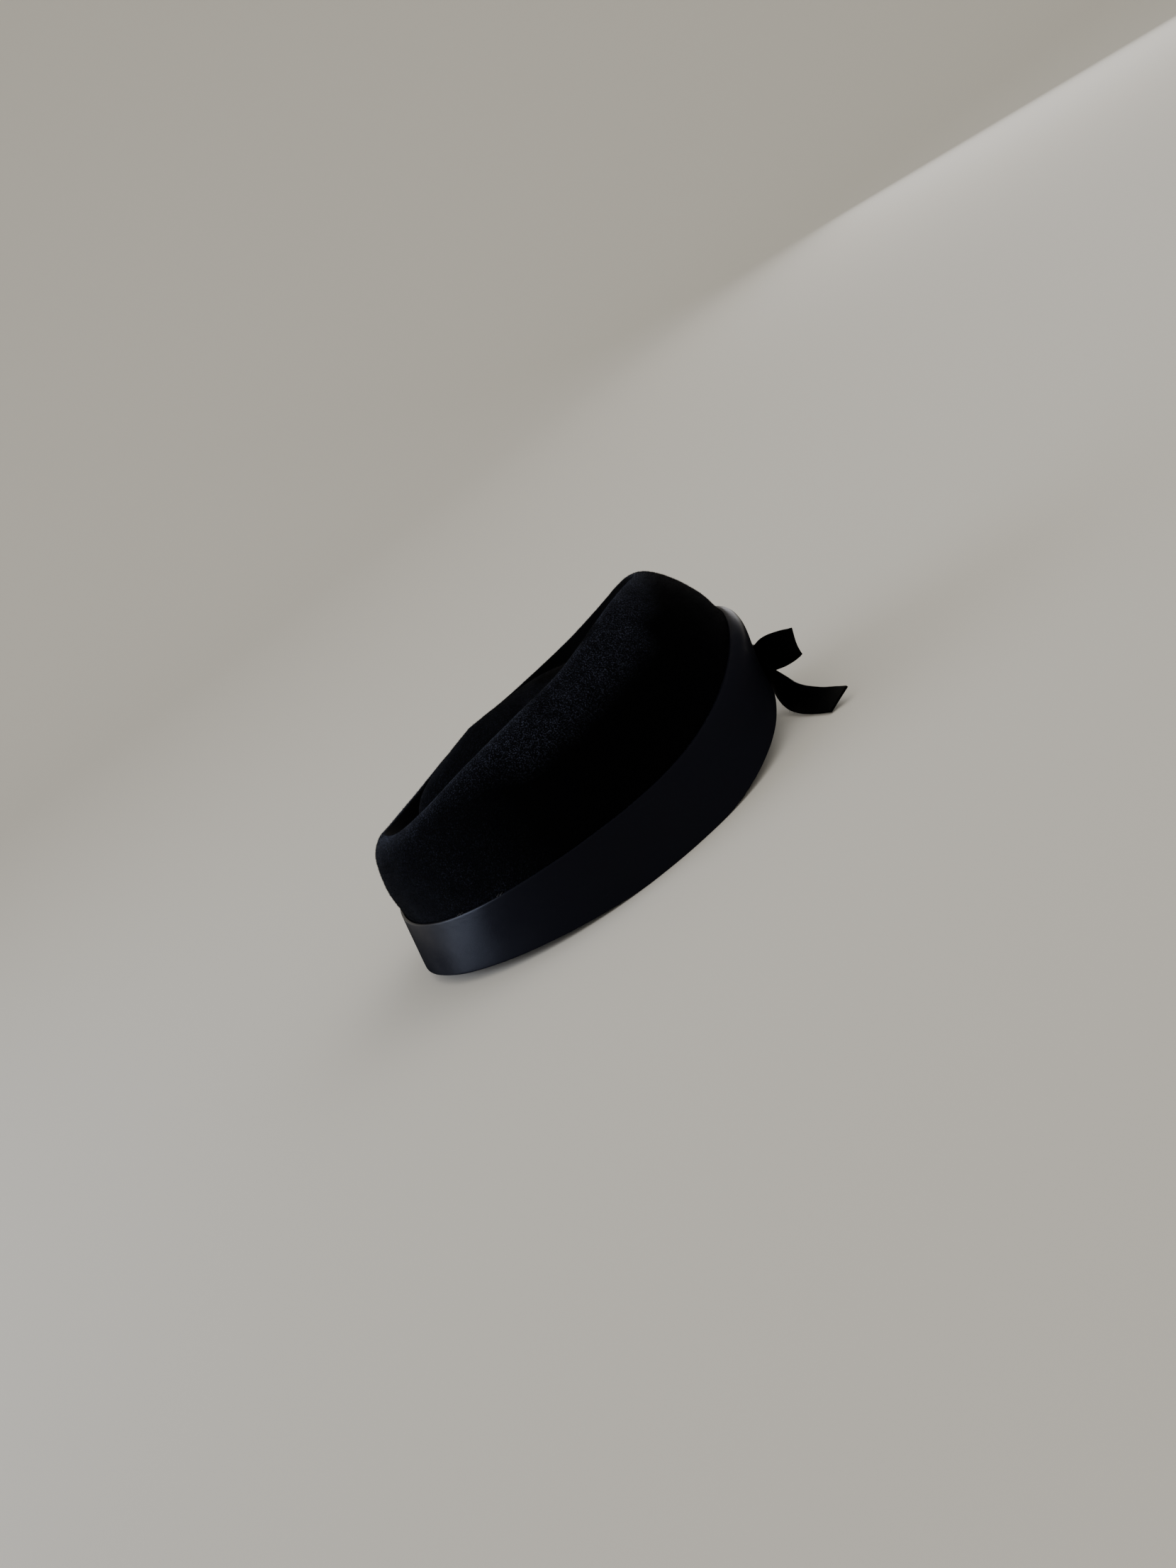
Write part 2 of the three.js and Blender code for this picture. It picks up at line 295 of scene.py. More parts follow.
def triangles_object(name: str, corners: np.ndarray) -> bpy.types.Object:
    """Joins many small loose triangles in one mesh object.

    Args:
        name: The object's name.
        corners: The triangles' corners, as an array of shape (count, 3, 3).

    Returns:
        The new object.
    """
    count = len(corners)
    mesh = bpy.data.meshes.new(name)
    mesh.vertices.add(count * 3)
    mesh.vertices.foreach_set("co", corners.reshape(-1))
    mesh.loops.add(count * 3)
    mesh.loops.foreach_set("vertex_index", np.arange(count * 3, dtype=np.int32))
    mesh.polygons.add(count)
    mesh.polygons.foreach_set("loop_start", np.arange(0, count * 3, 3, dtype=np.int32))
    mesh.update()
    piece = bpy.data.objects.new(name, mesh)
    bpy.context.scene.collection.objects.link(piece)
    return piece


class Wiring:
    """A material's node tree with short ways to add nodes and join them."""

    def __init__(self, name: str) -> None:
        """Starts a material that holds a Principled shader and its output.

        Args:
            name: The material's name.
        """
        self.material = bpy.data.materials.new(name)
        self.material.use_nodes = True
        self.nodes = self.material.node_tree.nodes
        self.links = self.material.node_tree.links
        self.shader = self.nodes["Principled BSDF"]
        self.coordinates = self.nodes.new("ShaderNodeTexCoord").outputs["Object"]

    def stretch(self, scale: Triple, turn: Triple = (0, 0, 0)) -> Socket:
        """Returns the object's coordinates, turned and scaled.

        Args:
            scale: Scale along X, Y and Z.
            turn: Turn about X, Y and Z in radians.

        Returns:
            The output socket with the changed coordinates.
        """
        node = self.nodes.new("ShaderNodeMapping")
        node.inputs["Scale"].default_value = scale
        node.inputs["Rotation"].default_value = turn
        self.links.new(self.coordinates, node.inputs["Vector"])
        return node.outputs["Vector"]

    def noise(
        self, scale: float, detail: float = 3.0, roughness: float = 0.5, vector: Socket | None = None
    ) -> Socket:
        """Adds a noise pattern.

        Args:
            scale: Waves to the metre.
            detail: How many finer layers it has.
            roughness: How strong those layers are.
            vector: Coordinates other than the object's own.

        Returns:
            The output socket with values from 0 to 1.
        """
        node = self.nodes.new("ShaderNodeTexNoise")
        node.inputs["Scale"].default_value = scale
        node.inputs["Detail"].default_value = detail
        node.inputs["Roughness"].default_value = roughness
        self.links.new(vector or self.coordinates, node.inputs["Vector"])
        return node.outputs["Fac"]

    def cells(self, scale: float) -> Socket:
        """Adds a pattern of small cells that are dark in their middles.

        Args:
            scale: Cells to the metre.

        Returns:
            The output socket with the distance from the nearest middle.
        """
        node = self.nodes.new("ShaderNodeTexVoronoi")
        node.inputs["Scale"].default_value = scale
        self.links.new(self.coordinates, node.inputs["Vector"])
        return node.outputs["Distance"]

    def painted(self, name: str) -> Socket:
        """Returns the values that a piece's mesh carries under a name.

        Args:
            name: The attribute's name.

        Returns:
            The output socket with its values.
        """
        node = self.nodes.new("ShaderNodeAttribute")
        node.attribute_name = name
        return node.outputs["Fac"]

    def times(self, first: Socket, second: Socket) -> Socket:
        """Multiplies two patterns.

        Args:
            first: One pattern.
            second: The other pattern.

        Returns:
            The output socket with their product.
        """
        node = self.nodes.new("ShaderNodeMath")
        node.operation = "MULTIPLY"
        self.links.new(first, node.inputs[0])
        self.links.new(second, node.inputs[1])
        return node.outputs["Value"]

    def ramp(self, value: Socket, low: float, high: float, start: float, end: float) -> Socket:
        """Maps the values from low to high to those from start to end, and holds them beyond.

        Args:
            value: The socket to map.
            low: Value that gives start.
            high: Value that gives end.
            start: First result.
            end: Last result.

        Returns:
            The mapped output socket.
        """
        node = self.nodes.new("ShaderNodeMapRange")
        node.inputs["From Min"].default_value = low
        node.inputs["From Max"].default_value = high
        node.inputs["To Min"].default_value = start
        node.inputs["To Max"].default_value = end
        self.links.new(value, node.inputs["Value"])
        return node.outputs["Result"]

    def blend(self, factor: Socket, first: Triple, second: Triple) -> Socket:
        """Mixes two colours by a factor.

        Args:
            factor: The pattern that mixes them.
            first: Colour where it is 0.
            second: Colour where it is 1.

        Returns:
            The output socket with the mixed colour.
        """
        node = self.nodes.new("ShaderNodeMix")
        node.data_type = "RGBA"
        self.links.new(factor, node.inputs["Factor"])
        node.inputs["A"].default_value = (*first, 1.0)
        node.inputs["B"].default_value = (*second, 1.0)
        return node.outputs["Result"]

    def raise_by(
        self, height: Socket, strength: float, distance: float, below: Socket | None = None
    ) -> Socket:
        """Adds a relief to the surface's normal.

        Args:
            height: The relief's height pattern.
            strength: How much of it shows, from 0 to 1.
            distance: Its depth in metres.
            below: The normal of a coarser relief that this one lies on.

        Returns:
            The output socket with the new normal.
        """
        node = self.nodes.new("ShaderNodeBump")
        node.inputs["Strength"].default_value = strength
        node.inputs["Distance"].default_value = distance
        self.links.new(height, node.inputs["Height"])
        if below is not None:
            self.links.new(below, node.inputs["Normal"])
        return node.outputs["Normal"]

    def feed(self, socket: Socket, target: str) -> None:
        """Joins a pattern to one of the shader's inputs.

        Args:
            socket: The pattern.
            target: The input's name.
        """
        self.links.new(socket, self.shader.inputs[target])

    def set(self, **values: float | tuple[float, ...]) -> None:
        """Sets values on the shader's own inputs.

        Args:
            **values: The values by input name, with underscores for spaces.
        """
        for name, value in values.items():
            self.shader.inputs[name.replace("_", " ")].default_value = value


@dataclass(frozen=True)
class VelourFelt:
    """Velour felt: deep black with a cool bloom where its short nap is seen along the surface, and lighter
    specks and stronger sheen painted as highlight where light falls.
    """

    name: str = "velour_felt"
    deep: Triple = (0.0006, 0.0007, 0.0011)
    # Colour of the painted highlight specks
    highlight_speck: Triple = (0.031, 0.036, 0.06)
    bloom: Triple = (0.6, 0.69, 1.0)
    sheen: tuple[float, float] = (0.01, 0.12)

    def material(self) -> bpy.types.Material:
        """Builds the felt's material.

        Returns:
            The material.
        """
        wiring = Wiring(self.name)
        patches = wiring.noise(scale=85.0, detail=4.0, roughness=0.6)
        nap = wiring.noise(scale=1500.0, detail=3.0, roughness=0.65)
        patchy = wiring.ramp(patches, low=0.3, high=0.62, start=0.45, end=1.0)
        painted_highlight = wiring.times(wiring.painted("painted_highlight"), patchy)
        # Lighter specks of painted highlight, where the nap pattern meets the painted highlight mask
        highlight_specks = wiring.times(wiring.ramp(nap, low=0.52, high=0.66, start=0.0, end=1.0), painted_highlight)
        wiring.feed(wiring.blend(highlight_specks, self.deep, self.highlight_speck), "Base Color")
        coarse = wiring.raise_by(patches, strength=0.25, distance=1.2 * MM)
        wiring.feed(wiring.raise_by(nap, strength=0.9, distance=0.6 * MM, below=coarse), "Normal")
        wiring.feed(wiring.ramp(nap, low=0.2, high=0.8, start=0.8, end=1.0), "Roughness")
        least, most = self.sheen
        # Sheen weight raised where the painted highlight lies
        wiring.feed(wiring.ramp(painted_highlight, low=0.0, high=1.0, start=least, end=most), "Sheen Weight")
        wiring.set(Specular_IOR_Level=0.05, Sheen_Roughness=0.4, Sheen_Tint=(*self.bloom, 1.0))
        return wiring.material


@dataclass(frozen=True)
class NapFibre:
    """The felt's raised fibres: black, with a lighter share of ends that is partly dry at random and mostly
    painted highlight where light falls.
    """

    name: str = "velour_nap"
    dark: Triple = (0.0008, 0.0009, 0.0014)
    # Colour of the lighter ends: dry fibres and painted highlight
    light: Triple = (0.05, 0.057, 0.094)

    def material(self) -> bpy.types.Material:
        """Builds the fibres' material.

        Returns:
            The material.
        """
        wiring = Wiring(self.name)
        share = wiring.noise(scale=900.0, detail=2.0, roughness=0.6)
        patchy = wiring.ramp(share, low=0.35, high=0.6, start=0.5, end=1.0)
        # Lighter ends from the dry and painted highlight tone stored on each fibre
        dry_and_lit = wiring.times(wiring.painted("painted_highlight"), patchy)
        wiring.feed(wiring.blend(dry_and_lit, self.dark, self.light), "Base Color")
        wiring.feed(wiring.ramp(share, low=0.3, high=0.7, start=0.6, end=0.9), "Roughness")
        wiring.set(Specular_IOR_Level=0.1)
        return wiring.material


@dataclass(frozen=True)
class SmoothLeather:
    """Smooth black leather with a satin face, a very fine grain and hairline wear."""

    name: str
    colour: Triple
    worn: Triple
    gloss: tuple[float, float]
    grain: float
    relief: float
    specular: float
    cast: Triple = (0.82, 0.86, 1.0)

    def material(self) -> bpy.types.Material:
        """Builds the leather's material.

        Returns:
            The material.
        """
        wiring = Wiring(self.name)
        clouds = wiring.noise(scale=45.0, detail=3.0, roughness=0.55)
        pores = wiring.cells(self.grain)
        fine = wiring.noise(scale=self.grain * 1.6, detail=3.0, roughness=0.6)
        drawn_out = wiring.stretch(scale=(0.6, 1.0, 14.0), turn=(0.5, 0.25, 0.0))
        hairlines = wiring.noise(scale=60.0, detail=6.0, roughness=0.75, vector=drawn_out)
        wear = wiring.ramp(hairlines, low=0.66, high=0.74, start=0.0, end=0.6)
        wiring.feed(wiring.blend(wear, self.colour, self.worn), "Base Color")
        smoothest, roughest = self.gloss
        wiring.feed(wiring.ramp(clouds, low=0.3, high=0.7, start=smoothest, end=roughest), "Roughness")
        soft = wiring.raise_by(clouds, strength=0.15, distance=0.8 * MM)
        pored = wiring.raise_by(pores, strength=0.12, distance=self.relief, below=soft)
        wiring.feed(wiring.raise_by(fine, strength=0.22, distance=self.relief, below=pored), "Normal")
        wiring.set(Specular_IOR_Level=self.specular, Specular_Tint=(*self.cast, 1.0))
        return wiring.material


BAND_LEATHER = SmoothLeather(
    name="band_leather",
    colour=(0.0056, 0.006, 0.0102),
    worn=(0.021, 0.023, 0.032),
    gloss=(0.3, 0.4),
    grain=1500.0,
    relief=0.08 * MM,
    specular=0.28,
)
STRAP_LEATHER = SmoothLeather(
    name="strap_leather",
    colour=(0.0012, 0.0013, 0.0022),
    worn=(0.012, 0.013, 0.016),
    gloss=(0.5, 0.62),
    grain=1100.0,
    relief=0.16 * MM,
    specular=0.28,
)


@dataclass(frozen=True)
class PlainThread:
    """Dark sewing thread."""

    name: str = "thread"
    colour: Triple = (0.05, 0.055, 0.07)
    shade: float = 0.4

    def material(self) -> bpy.types.Material:
        """Builds the thread's material.

        Returns:
            The material.
        """
        wiring = Wiring(self.name)
        twist = wiring.noise(
            scale=2600.0, detail=2.0, roughness=0.5, vector=wiring.stretch(scale=(1.0, 1.0, 3.0))
        )
        shaded = tuple(self.shade * part for part in self.colour)
        wiring.feed(wiring.blend(twist, self.colour, shaded), "Base Color")
        wiring.feed(wiring.ramp(twist, low=0.3, high=0.7, start=0.45, end=0.7), "Roughness")
        wiring.feed(wiring.raise_by(twist, strength=0.6, distance=0.1 * MM), "Normal")
        return wiring.material


@dataclass(frozen=True)
class NapHighlightPaint:
    """Painted highlight on the felt's nap where light falls: along the ridge's outer side, on the lobe's
    upturned side and towards the back.
    """

    middle: float = 8 * MM
    directions: int = 48
    direction_spread: float = 0.1
    rim_share: float = 0.68
    strip_width: float = 15 * MM
    strip_inside: float = 15 * MM
    strip_fade: float = 3 * MM
    crest: float = 0.85
    outer_gain: float = 1.7
    shaded: float = 0.06
    lobe: float = 0.4
    lobe_start: float = 10 * MM
    lobe_fade: float = 6 * MM
    lobe_drop: tuple[float, float] = (14 * MM, 8 * MM)
    lobe_facing: tuple[float, float] = (0.2, 1.5)
    back: float = 0.3
    back_start: float = 55 * MM
    back_fade: float = 35 * MM

    def shares(self, points: np.ndarray, normals: np.ndarray) -> np.ndarray:
        """Tells how strongly the painted highlight lies on the nap at each place.

        Args:
            points: Places on the felt as rows.
            normals: The felt's outward direction at each place.

        Returns:
            A value from 0 to 1 for each row.
        """
        outwards = points[:, :2] - np.array([0.0, self.middle])
        reach = np.linalg.norm(outwards, axis=1)
        facing = np.einsum("ij,ij->i", normals[:, :2], outwards / reach[:, None])
        ridge_reach, ridge_height = self.ridge(points)
        beyond = reach - ridge_reach
        drop = ridge_height - points[:, 2]
        # Painted highlight: full near the ridge where the felt faces outwards, down to the shaded share where
        # it faces in
        outer = np.clip(self.crest + self.outer_gain * facing, self.shaded, 1.0)
        outer *= fade(beyond, -self.strip_inside, self.strip_fade)
        below = np.hypot(np.maximum(beyond, 0.0), np.maximum(drop, 0.0))
        strip = outer * np.clip(1.0 - below / self.strip_width, 0.0, 1.0)
        # Painted highlight on the lobe's upturned, outward-facing side
        inner = fade(-beyond, self.lobe_start, self.lobe_fade)
        inner *= fade(-drop, -self.lobe_drop[0], self.lobe_drop[1])
        turned_out = np.clip(self.lobe_facing[0] + self.lobe_facing[1] * facing, 0.0, 1.0)
        lobe = self.lobe * inner * turned_out * np.clip(normals[:, 2], 0.0, 1.0)
        # Painted highlight towards the back, where more light falls
        back = self.back * fade(points[:, 1], self.back_start, self.back_fade) * outer
        return np.clip(strip + lobe + back, 0.0, 1.0)

    def ridge(self, points: np.ndarray) -> tuple[np.ndarray, np.ndarray]:
        """Finds the crown's ridge in the direction of each point.

        Args:
            points: Places as rows.

        Returns:
            The ridge's distance from the crown's upright middle line, and its height, for each row.
        """
        crown = mesh_points(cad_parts["crown"].data)
        turn = np.arctan2(crown[:, 0], self.middle - crown[:, 1])
        reach = np.hypot(crown[:, 0], crown[:, 1] - self.middle)
        centres = np.linspace(-math.pi, math.pi, self.directions, endpoint=False)
        tops = []
        for centre in centres:
            off = np.abs((turn - centre + math.pi) % (2 * math.pi) - math.pi)
            near = off < self.direction_spread
            rim = near & (reach > self.rim_share * reach[near].max())
            tops.append(np.flatnonzero(rim)[crown[rim, 2].argmax()])
        sought = np.arctan2(points[:, 0], self.middle - points[:, 1])
        ridge_reach = np.interp(sought, centres, reach[tops], period=2 * math.pi)
        ridge_height = np.interp(sought, centres, crown[tops, 2], period=2 * math.pi)
        return ridge_reach, ridge_height


@dataclass
class Crown:
    """The velour felt crown and its raised nap."""

    swell_size: float = 26 * MM
    swell_height: float = 0.7 * MM
    # Painted highlight mask for the felt and its nap
    painted_highlight: NapHighlightPaint = NapHighlightPaint()
    inside_point: Triple = (0.0, 10 * MM, 20 * MM)
    under_band: float = 1.5 * MM
    fibres: int = 150000
    fibre_length: tuple[float, float] = (0.3 * MM, 0.8 * MM)
    fibre_width: tuple[float, float] = (0.04 * MM, 0.09 * MM)
    fibre_lean: tuple[float, float] = (40.0, 18.0)
    fibre_stray: float = 0.55
    fibre_sink: float = 0.05 * MM
    # Share and tone of light fibre ends: a small random share of dry ends, the rest painted highlight
    dry_and_lit_share: tuple[float, float] = (0.02, 0.34)
    dry_and_lit_tone: tuple[float, float] = (0.3, 1.0)
    seed: int = 7
    band_directions: int = 72
    swirl_waves: Triple = (60.0, 90.0, 130.0)
    swirl_climb: float = 0.25
    swirl_round: tuple[float, float] = (0.6, 0.4)
    flow_down: float = 0.7

    def felt(self) -> bpy.types.Object:
        """Makes the felt body from the lofted shell: merged, rounded and softly uneven.

        Returns:
            The felt's object.
        """
        piece = merged_copy("crown", "crown_felt")
        soften(piece, self.swell_size, self.swell_height)
        # Paints the highlight mask that the felt's material reads
        paint(piece.data, "painted_highlight", self.painted_highlight.shares(mesh_points(piece.data), vertex_normals(piece.data)))
        return piece

    def nap(self, felt: bpy.types.Object) -> bpy.types.Object:
        """Stands short fibres on the felt's outer face where the band leaves it bare.

        Args:
            felt: The felt's object.

        Returns:
            One object with all the fibres.
        """
        rng = np.random.default_rng(self.seed)
        roots, lift = self.fibre_roots(felt.data, rng)
        lean = np.radians(rng.normal(*self.fibre_lean, self.fibres))[:, None]
        lying = self.nap_flow(roots) + rng.normal(0.0, self.fibre_stray, (self.fibres, 3))
        lying = unit(lying - lift * np.einsum("ij,ij->i", lying, lift)[:, None])
        direction = lift * np.cos(lean) + lying * np.sin(lean)
        length = rng.uniform(*self.fibre_length, self.fibres)[:, None]
        width = rng.uniform(*self.fibre_width, self.fibres)[:, None]
        sideways = unit(np.cross(direction, lift))
        base = roots - lift * self.fibre_sink
        tips = base + direction * length
        piece = triangles_object(
            "crown_nap", np.stack([base - sideways * width, base + sideways * width, tips], axis=1)
        )
        # Painted highlight: more fibres are light, and lighter, where the painted highlight mask lies; a
        # small share is light at random
        painted_highlight = self.painted_highlight.shares(roots, lift)
        dry_and_lit = rng.random(self.fibres) < self.dry_and_lit_share[0] + self.dry_and_lit_share[1] * painted_highlight
        dullest = self.dry_and_lit_tone[0]
        tone = rng.uniform(*self.dry_and_lit_tone, self.fibres) * (dullest + (1.0 - dullest) * painted_highlight)
        paint(piece.data, "painted_highlight", np.repeat(dry_and_lit * tone, 3))
        return piece

    def fibre_roots(self, mesh: bpy.types.Mesh, rng: np.random.Generator) -> tuple[np.ndarray, np.ndarray]:
        """Spreads the fibres' roots evenly over the bare outer face of the felt.

        Args:
            mesh: The felt's mesh.
            rng: The random numbers to draw from.

        Returns:
            The roots, and the felt's outward direction at each.
        """
        mesh.calc_loop_triangles()
        corners = np.zeros(len(mesh.loop_triangles) * 3, dtype=np.int32)
        mesh.loop_triangles.foreach_get("vertices", corners)
        places = mesh_points(mesh)[corners.reshape(-1, 3)]
        across = np.cross(places[:, 1] - places[:, 0], places[:, 2] - places[:, 0])
        area = np.linalg.norm(across, axis=1)
        normals = across / np.maximum(area, 1e-12)[:, None]
        middle = places.mean(axis=1)
        outside = np.einsum("ij,ij->i", normals, middle - np.array(self.inside_point)) > 0
        bare = middle[:, 2] > self.band_top(middle) - self.under_band
        area = np.where(outside & bare, area, 0.0)
        chosen = rng.choice(len(area), size=self.fibres, p=area / area.sum())
        weights = rng.dirichlet((1.0, 1.0, 1.0), self.fibres)
        return np.einsum("ij,ijk->ik", weights, places[chosen]), normals[chosen]

    def band_top(self, points: np.ndarray) -> np.ndarray:
        """Gives the height of the band's upper edge in the direction of each point.

        Args:
            points: Places as rows.

        Returns:
            One height for each row.
        """
        band = mesh_points(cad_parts["band"].data)
        steps = np.linspace(-math.pi, math.pi, self.band_directions + 1)
        turn = np.arctan2(band[:, 0], -band[:, 1])
        sectors = np.digitize(turn, steps) - 1
        tops = []
        for number in range(self.band_directions):
            heights = band[sectors == number, 2]
            tops.append(heights.max() if len(heights) else 0.0)
        centres = (steps[:-1] + steps[1:]) / 2
        return np.interp(np.arctan2(points[:, 0], -points[:, 1]), centres, tops, period=2 * math.pi)

    def nap_flow(self, points: np.ndarray) -> np.ndarray:
        """Gives the direction that the nap was brushed to at each point: round the crown and down its wall.

        Args:
            points: Places as rows.

        Returns:
            One direction for each row.
        """
        turn = np.arctan2(points[:, 0], -points[:, 1])
        x_waves, y_waves, z_waves = self.swirl_waves
        swirl = np.sin(points[:, 1] * y_waves) + np.cos(points[:, 2] * z_waves + points[:, 0] * x_waves)
        swirl *= 0.5
        around = np.stack([np.cos(turn), np.sin(turn), self.swirl_climb * swirl], axis=1)
        least, more = self.swirl_round
        return around * (least + more * swirl[:, None]) - np.array([0.0, 0.0, self.flow_down])

    def build(self) -> list[bpy.types.Object]:
        """Builds and dresses the crown.

        Returns:
            Its pieces.
        """
        felt = self.felt()
        nap = self.nap(felt)
        finish_piece(felt, VelourFelt().material(), ("crown",))
        finish_piece(nap, NapFibre().material(), ("crown",))
        return [felt, nap]


@dataclass
class Band:
    """The smooth leather band round the hat's edge."""

    edge_round: float = 0.5 * MM
    edge_segments: int = 3
    swell_size: float = 24 * MM
    swell_height: float = 0.35 * MM
    tack_angles: tuple[float, ...] = (159.0, 147.0)
    tack_length: float = 3.2 * MM
    tack_radius: float = 0.22 * MM
    tack_round: float = 0.8
    tack_sides: int = 10
    tack_smooth: float = math.radians(40)
    tack_apart: float = 0.9 * MM
    tack_lift: float = 0.15 * MM
    edge_reach: float = 3.0

    def leather(self) -> bpy.types.Object:
        """Makes the leather ring with rounded edges and a soft unevenness.

        Returns:
            The band's object.
        """
        piece = merged_copy("band", "band_leather")
        bpy.ops.object.mode_set(mode="EDIT")
        bpy.ops.mesh.select_all(action="DESELECT")
        bpy.ops.mesh.select_mode(type="EDGE")
        bpy.ops.mesh.edges_select_sharp(sharpness=SHARP_EDGE)
        bpy.ops.mesh.bevel(offset=self.edge_round, segments=self.edge_segments)
        bpy.ops.object.mode_set(mode="OBJECT")
        soften(piece, self.swell_size, self.swell_height, depth=1)
        return piece

    def tacks(self) -> bpy.types.Object:
        """Sews the small stitches that hold the leather's upper edge to the felt behind.

        Returns:
            One object with all the stitches.
        """
        band = mesh_points(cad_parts["band"].data)
        turn = np.degrees(np.arctan2(-band[:, 0], -band[:, 1]))
        stitches = []
        for angle in self.tack_angles:
            near = band[np.abs(turn - angle) < self.edge_reach]
            top = Vector(near[near[:, 2].argmax()])
            inwards = -Vector((top.x, top.y, 0.0)).normalized()
            aside = inwards.cross(Vector((0, 0, 1)))
            for step in (-1, 1):
                place = top + aside * (step * self.tack_apart) + Vector((0, 0, self.tack_lift))
                stitches.append(self.stitch(place, inwards))
        bpy.ops.object.select_all(action="DESELECT")
        for stitch in stitches:
            stitch.select_set(True)
        bpy.context.view_layer.objects.active = stitches[0]
        bpy.ops.object.join()
        stitches[0].name = "band_tacks"
        bpy.ops.object.shade_smooth_by_angle(angle=self.tack_smooth)
        return stitches[0]

    def stitch(self, place: Vector, inwards: Vector) -> bpy.types.Object:
        """Lays one short stitch with rounded ends.

        Args:
            place: Its middle.
            inwards: The direction it lies in.

        Returns:
            The stitch's object.
        """
        bpy.ops.object.select_all(action="DESELECT")
        bpy.ops.mesh.primitive_cylinder_add(
            vertices=self.tack_sides, radius=self.tack_radius, depth=self.tack_length, location=place
        )
        stitch = bpy.context.object
        stitch.rotation_euler = inwards.to_track_quat("Z", "Y").to_euler()
        settle(stitch)
        modifier = stitch.modifiers.new("round", "BEVEL")
        modifier.width = self.tack_radius * self.tack_round
        modifier.segments = 2
        apply_modifiers(stitch)
        return stitch

    def build(self) -> list[bpy.types.Object]:
        """Builds and dresses the band.

        Returns:
            Its pieces.
        """
        leather = self.leather()
        tacks = self.tacks()
        finish_piece(leather, BAND_LEATHER.material(), ("band",))
        finish_piece(tacks, PlainThread().material())
        return [leather, tacks]


@dataclass(frozen=True)
class StrapRow:
    """A place on a strap's path, in shares of the strap's reach, and the lean of its upper edge."""

    out: float
    forward: float
    up: float
    lean: float


LOOP_ROWS = (
    StrapRow(0.0, -0.04, 0.0, 0.15),
    StrapRow(0.24, 0.02, 0.01, 0.2),
    StrapRow(0.55, 0.13, 0.09, 0.34),
    StrapRow(0.84, 0.3, 0.05, 0.36),
    StrapRow(0.97, 0.4, 0.0, 0.36),
    StrapRow(0.95, 0.46, -0.03, 0.36),
    StrapRow(0.5, 0.31, -0.13, 0.3),
    StrapRow(0.0, 0.075, -0.1, 0.15),
)
TAIL_ROWS = (
    StrapRow(0.0, -0.042, -0.033, 0.15),
    StrapRow(0.13, -0.05, -0.14, 0.2),
    StrapRow(0.352, -0.088, -0.288, 1.0),
    StrapRow(0.651, -0.088, -0.333, 1.9),
    StrapRow(1.0, -0.058, -0.348, 2.9),
)


def smooth_place(points: list[Vector], share: float) -> Vector:
    """Gives a place on the smooth curve through some points.

    Args:
        points: The points that the curve passes through.
        share: How far along it, from 0 to 1.

    Returns:
        The place on the curve.
    """
    least = 0.1 * MM
    last = len(points) - 1
    index = min(int(share * last), last - 1)
    along = share * last - index
    first, second = points[index], points[index + 1]
    before = points[index - 1] if index > 0 else first * 2 - second
    after = points[index + 2] if index + 2 <= last else second * 2 - first
    step_before = math.sqrt(max((first - before).length, least))
    step = math.sqrt(max((second - first).length, least))
    step_after = math.sqrt(max((after - second).length, least))
    slope = (second - first) / step
    leave = (first - before) / step_before - (second - before) / (step_before + step) + slope
    reach = slope - (after - first) / (step + step_after) + (after - second) / step_after
    leave, reach = leave * step, reach * step
    bend = first * 2 - second * 2 + leave + reach
    curve = first * -3 + second * 3 - leave * 2 - reach
    return bend * along**3 + curve * along**2 + leave * along + first


